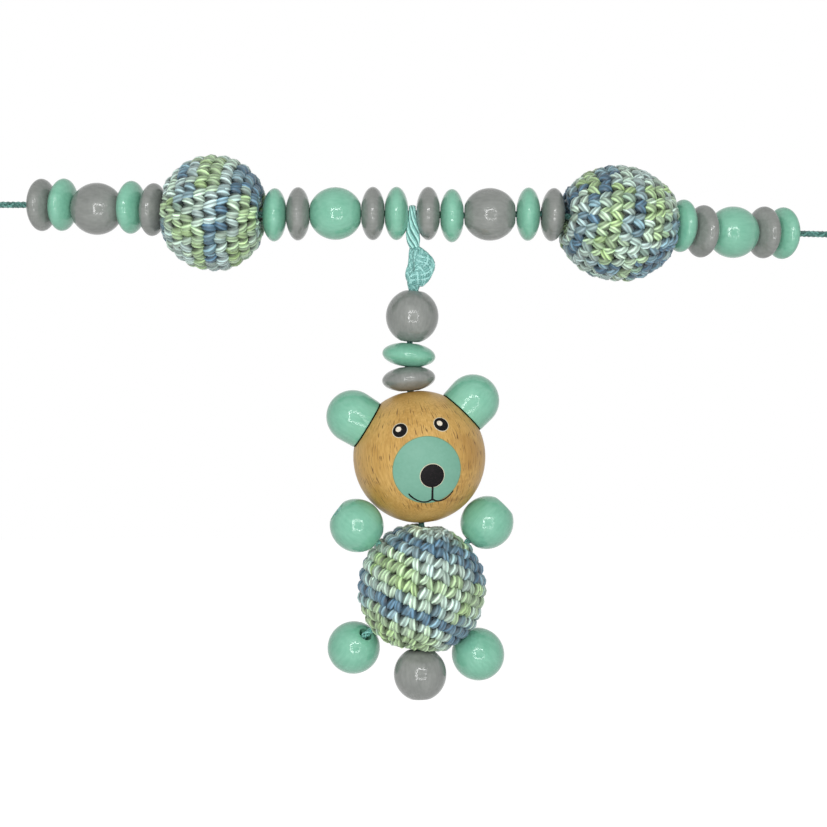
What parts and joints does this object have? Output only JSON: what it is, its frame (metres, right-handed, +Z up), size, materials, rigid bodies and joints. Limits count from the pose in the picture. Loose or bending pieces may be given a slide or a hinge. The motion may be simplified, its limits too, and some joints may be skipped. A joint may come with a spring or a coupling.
{
  "type": "pram chain toy",
  "caption": "Wooden bead chain with crocheted balls and a hanging wooden bear, on a cord between two lever clips.",
  "frame": {"origin": "on the main cord's centre line, where the bear's cord loop hangs over it", "axes": "+X along the chain to the right, +Z up, the front of the bear faces -Y"},
  "size_m": [0.2963, 0.065, 0.1292],
  "materials": {
    "mint_lacquer": "semi-gloss lacquer",
    "gray_lacquer": "semi-gloss lacquer",
    "beech": "clear lacquer",
    "cotton": "mercerised crochet cotton",
    "braided_cord": "satin braid",
    "clip_steel": "nickel plated",
    "pad_plastic": "matt"
  },
  "bodies": {
    "chain": {"main_cord": "braided_cord", "left_end_knot": "braided_cord", "left_clip_base": "clip_steel", "left_clip_pin": "clip_steel", "left_clip_pad": "pad_plastic", "right_end_knot": "braided_cord", "right_clip_base": "clip_steel", "right_clip_pin": "clip_steel", "right_clip_pad": "pad_plastic"},
    "left_inner_1_mint_lens": {"left_inner_1_mint_lens": "mint_lacquer"},
    "left_inner_2_gray_lens": {"left_inner_2_gray_lens": "gray_lacquer"},
    "left_inner_3_mint_round": {"left_inner_3_mint_round": "mint_lacquer"},
    "left_inner_4_gray_lens": {"left_inner_4_gray_lens": "gray_lacquer"},
    "left_inner_5_mint_lens": {"left_inner_5_mint_lens": "mint_lacquer"},
    "left_ball": {"left_ball_core": "beech", "left_ball_cover": "cotton"},
    "left_outer_1_gray_lens": {"left_outer_1_gray_lens": "gray_lacquer"},
    "left_outer_2_mint_lens": {"left_outer_2_mint_lens": "mint_lacquer"},
    "left_outer_3_gray_round": {"left_outer_3_gray_round": "gray_lacquer"},
    "left_outer_4_mint_lens": {"left_outer_4_mint_lens": "mint_lacquer"},
    "left_outer_5_gray_lens": {"left_outer_5_gray_lens": "gray_lacquer"},
    "right_inner_1_gray_lens": {"right_inner_1_gray_lens": "gray_lacquer"},
    "right_inner_2_mint_lens": {"right_inner_2_mint_lens": "mint_lacquer"},
    "right_inner_3_gray_round": {"right_inner_3_gray_round": "gray_lacquer"},
    "right_inner_4_mint_lens": {"right_inner_4_mint_lens": "mint_lacquer"},
    "right_inner_5_gray_lens": {"right_inner_5_gray_lens": "gray_lacquer"},
    "right_ball": {"right_ball_core": "beech", "right_ball_cover": "cotton"},
    "right_outer_1_mint_lens": {"right_outer_1_mint_lens": "mint_lacquer"},
    "right_outer_2_gray_lens": {"right_outer_2_gray_lens": "gray_lacquer"},
    "right_outer_3_mint_round": {"right_outer_3_mint_round": "mint_lacquer"},
    "right_outer_4_gray_lens": {"right_outer_4_gray_lens": "gray_lacquer"},
    "right_outer_5_mint_lens": {"right_outer_5_mint_lens": "mint_lacquer"},
    "ribbon_loop": {"ribbon_loop": "braided_cord"},
    "ribbon_knot": {"ribbon_knot": "braided_cord"},
    "pendant_cord": {"pendant_cord": "braided_cord"},
    "pendant_gray_round": {"pendant_gray_round": "gray_lacquer"},
    "pendant_mint_lens": {"pendant_mint_lens": "mint_lacquer"},
    "pendant_gray_lens": {"pendant_gray_lens": "gray_lacquer"},
    "head": {"head": "beech", "left_ear": "mint_lacquer", "right_ear": "mint_lacquer"},
    "body": {"body_core": "beech", "body_cover": "cotton"},
    "tail": {"tail_bead": "gray_lacquer"},
    "left_arm_cord": {"left_arm_cord": "braided_cord"},
    "left_arm_bead": {"left_arm_bead": "mint_lacquer"},
    "right_arm_cord": {"right_arm_cord": "braided_cord"},
    "right_arm_bead": {"right_arm_bead": "mint_lacquer"},
    "left_leg_cord": {"left_leg_cord": "braided_cord"},
    "left_leg_bead": {"left_leg_bead": "mint_lacquer"},
    "right_leg_cord": {"right_leg_cord": "braided_cord"},
    "right_leg_bead": {"right_leg_bead": "mint_lacquer"},
    "left_clip_lever": {"left_clip_lever": "clip_steel", "left_clip_disc": "mint_lacquer"},
    "right_clip_lever": {"right_clip_lever": "clip_steel", "right_clip_disc": "mint_lacquer"}
  },
  "joints": [
    {"name": "left_inner_1_mint_lens_spin", "type": "hinge", "parent": "chain", "child": "left_inner_1_mint_lens", "pos_m": [-0.00363, 0, 0], "axis": [-1, 0, 0], "continuous": true},
    {"name": "left_inner_2_gray_lens_spin", "type": "hinge", "parent": "chain", "child": "left_inner_2_gray_lens", "pos_m": [-0.00901, 0, 0], "axis": [-1, 0, 0], "continuous": true},
    {"name": "left_inner_3_mint_round_spin", "type": "hinge", "parent": "chain", "child": "left_inner_3_mint_round", "pos_m": [-0.01757, 0, 0], "axis": [-1, 0, 0], "continuous": true},
    {"name": "left_inner_4_gray_lens_spin", "type": "hinge", "parent": "chain", "child": "left_inner_4_gray_lens", "pos_m": [-0.02613, 0, -0.00008], "axis": [-1, 0, 0.0087], "continuous": true},
    {"name": "left_inner_5_mint_lens_spin", "type": "hinge", "parent": "chain", "child": "left_inner_5_mint_lens", "pos_m": [-0.03151, 0, -0.00031], "axis": [-0.9998, 0, 0.0175], "continuous": true},
    {"name": "left_ball_spin", "type": "hinge", "parent": "chain", "child": "left_ball", "pos_m": [-0.04556, 0.0012, 0.0002], "axis": [-0.9936, 0.1044, 0.0436], "continuous": true},
    {"name": "left_outer_1_gray_lens_spin", "type": "hinge", "parent": "chain", "child": "left_outer_1_gray_lens", "pos_m": [-0.05954, 0.00299, 0.00113], "axis": [-0.972, 0.2244, 0.0698], "continuous": true},
    {"name": "left_outer_2_mint_lens_spin", "type": "hinge", "parent": "chain", "child": "left_outer_2_mint_lens", "pos_m": [-0.06473, 0.00438, 0.00176], "axis": [-0.955, 0.292, 0.0523], "continuous": true},
    {"name": "left_outer_3_gray_round_spin", "type": "hinge", "parent": "chain", "child": "left_outer_3_gray_round", "pos_m": [-0.0729, 0.00688, 0.0016], "axis": [-0.955, 0.292, 0.0523], "continuous": true},
    {"name": "left_outer_4_mint_lens_spin", "type": "hinge", "parent": "chain", "child": "left_outer_4_mint_lens", "pos_m": [-0.08107, 0.00938, 0.00275], "axis": [-0.9527, 0.2913, 0.0872], "continuous": true},
    {"name": "left_outer_5_gray_lens_spin", "type": "hinge", "parent": "chain", "child": "left_outer_5_gray_lens", "pos_m": [-0.08621, 0.01095, 0.00283], "axis": [-0.9562, 0.2923, 0.0175], "continuous": true},
    {"name": "right_inner_1_gray_lens_spin", "type": "hinge", "parent": "chain", "child": "right_inner_1_gray_lens", "pos_m": [0.00363, 0, 0], "axis": [1, 0, 0], "continuous": true},
    {"name": "right_inner_2_mint_lens_spin", "type": "hinge", "parent": "chain", "child": "right_inner_2_mint_lens", "pos_m": [0.00906, 0, -0.0005], "axis": [1, 0, 0], "continuous": true},
    {"name": "right_inner_3_gray_round_spin", "type": "hinge", "parent": "chain", "child": "right_inner_3_gray_round", "pos_m": [0.01772, 0, -0.0002], "axis": [1, 0, 0], "continuous": true},
    {"name": "right_inner_4_mint_lens_spin", "type": "hinge", "parent": "chain", "child": "right_inner_4_mint_lens", "pos_m": [0.02648, 0, -0.00015], "axis": [0.9998, 0, -0.0175], "continuous": true},
    {"name": "right_inner_5_gray_lens_spin", "type": "hinge", "parent": "chain", "child": "right_inner_5_gray_lens", "pos_m": [0.0321, 0.00015, -0.00024], "axis": [0.9973, 0.0523, -0.0523], "continuous": true},
    {"name": "right_ball_spin", "type": "hinge", "parent": "chain", "child": "right_ball", "pos_m": [0.04729, 0.00293, -0.002], "axis": [0.9744, 0.2071, -0.0872], "continuous": true},
    {"name": "right_outer_1_mint_lens_spin", "type": "hinge", "parent": "chain", "child": "right_outer_1_mint_lens", "pos_m": [0.06223, 0.00649, -0.00235], "axis": [0.9374, 0.3412, -0.0698], "continuous": true},
    {"name": "right_outer_2_gray_lens_spin", "type": "hinge", "parent": "chain", "child": "right_outer_2_gray_lens", "pos_m": [0.06717, 0.00858, -0.00348], "axis": [0.8976, 0.4378, -0.0523], "continuous": true},
    {"name": "right_outer_3_mint_round_spin", "type": "hinge", "parent": "chain", "child": "right_outer_3_mint_round", "pos_m": [0.07481, 0.01243, -0.00342], "axis": [0.8909, 0.4539, 0.0175], "continuous": true},
    {"name": "right_outer_4_gray_lens_spin", "type": "hinge", "parent": "chain", "child": "right_outer_4_gray_lens", "pos_m": [0.08244, 0.01631, -0.0032], "axis": [0.891, 0.454, 0], "continuous": true},
    {"name": "right_outer_5_mint_lens_spin", "type": "hinge", "parent": "chain", "child": "right_outer_5_mint_lens", "pos_m": [0.08723, 0.01875, -0.0032], "axis": [0.891, 0.454, 0], "continuous": true},
    {"name": "loop_swing", "type": "hinge", "parent": "chain", "child": "ribbon_loop", "pos_m": [0, 0, 0], "axis": [1, 0, 0], "range_deg": [-90, 90]},
    {"name": "knot_sway", "type": "hinge", "parent": "ribbon_loop", "child": "ribbon_knot", "pos_m": [0.00055, 0, -0.0079], "axis": [0, 1, 0], "range_deg": [-40, 40]},
    {"name": "cord_twist", "type": "hinge", "parent": "ribbon_knot", "child": "pendant_cord", "pos_m": [0.0005, 0, -0.0174], "axis": [0, 0, 1], "range_deg": [-180, 180]},
    {"name": "pendant_gray_round_spin", "type": "hinge", "parent": "pendant_cord", "child": "pendant_gray_round", "pos_m": [-0.00003, 0, -0.0235], "axis": [0.0857, 0, 0.9963], "continuous": true},
    {"name": "pendant_mint_lens_spin", "type": "hinge", "parent": "pendant_cord", "child": "pendant_mint_lens", "pos_m": [-0.0008, 0, -0.03232], "axis": [0.0914, 0, 0.9958], "continuous": true},
    {"name": "pendant_gray_lens_spin", "type": "hinge", "parent": "pendant_cord", "child": "pendant_gray_lens", "pos_m": [-0.00082, 0, -0.0378], "axis": [-0.0815, 0, 0.9967], "continuous": true},
    {"name": "head_spin", "type": "hinge", "parent": "pendant_cord", "child": "head", "pos_m": [0.0016, 0, -0.05557], "axis": [-0.1449, 0, 0.9894], "continuous": true},
    {"name": "body_turn", "type": "hinge", "parent": "pendant_cord", "child": "body", "pos_m": [0.00219, 0, -0.08569], "axis": [0.0767, 0, 0.9971], "range_deg": [-44, 37]},
    {"name": "tail_spin", "type": "hinge", "parent": "pendant_cord", "child": "tail", "pos_m": [0.00178, 0, -0.1052], "axis": [-0.03, 0, 0.9996], "continuous": true},
    {"name": "left_arm_swing", "type": "hinge", "parent": "body", "child": "left_arm_cord", "pos_m": [-0.00787, -0.00417, -0.07494], "axis": [-0.7024, 0, -0.7117], "range_deg": [-10, 10], "stiffness_Nm_per_rad": 0.002},
    {"name": "left_arm_bead_spin", "type": "hinge", "parent": "left_arm_cord", "child": "left_arm_bead", "pos_m": [-0.0126, -0.005, -0.0711], "axis": [-0.7923, -0.1003, 0.6018], "continuous": true},
    {"name": "right_arm_swing", "type": "hinge", "parent": "body", "child": "right_arm_cord", "pos_m": [0.01291, 0.00144, -0.07488], "axis": [-0.7091, 0, 0.7051], "range_deg": [-10, 10], "stiffness_Nm_per_rad": 0.002},
    {"name": "right_arm_bead_spin", "type": "hinge", "parent": "right_arm_cord", "child": "right_arm_bead", "pos_m": [0.0171, 0.002, -0.0707], "axis": [0.706, 0.094, 0.702], "continuous": true},
    {"name": "left_leg_swing", "type": "hinge", "parent": "body", "child": "left_leg_cord", "pos_m": [-0.00953, 0.00153, -0.09541], "axis": [0.6633, 0, -0.7484], "range_deg": [-10, 10], "stiffness_Nm_per_rad": 0.002},
    {"name": "left_leg_bead_spin", "type": "hinge", "parent": "left_leg_cord", "child": "left_leg_bead", "pos_m": [-0.0135, 0.005, -0.0996], "axis": [-0.4794, 0.6592, -0.5793], "continuous": true},
    {"name": "right_leg_swing", "type": "hinge", "parent": "body", "child": "right_leg_cord", "pos_m": [0.01157, 0.00436, -0.09696], "axis": [0.7672, 0, 0.6414], "range_deg": [-10, 10], "stiffness_Nm_per_rad": 0.002},
    {"name": "right_leg_bead_spin", "type": "hinge", "parent": "right_leg_cord", "child": "right_leg_bead", "pos_m": [0.01515, 0.006, -0.1012], "axis": [0.6199, 0.283, -0.7319], "continuous": true},
    {"name": "left_clip_open", "type": "hinge", "parent": "chain", "child": "left_clip_lever", "pos_m": [-0.13932, 0.02238, 0.00387], "axis": [-0.0167, 0.0051, -0.9998], "range_deg": [0, 70]},
    {"name": "right_clip_open", "type": "hinge", "parent": "chain", "child": "right_clip_lever", "pos_m": [0.13979, 0.04037, -0.00306], "axis": [0, 0, 1], "range_deg": [0, 70]}
  ]
}
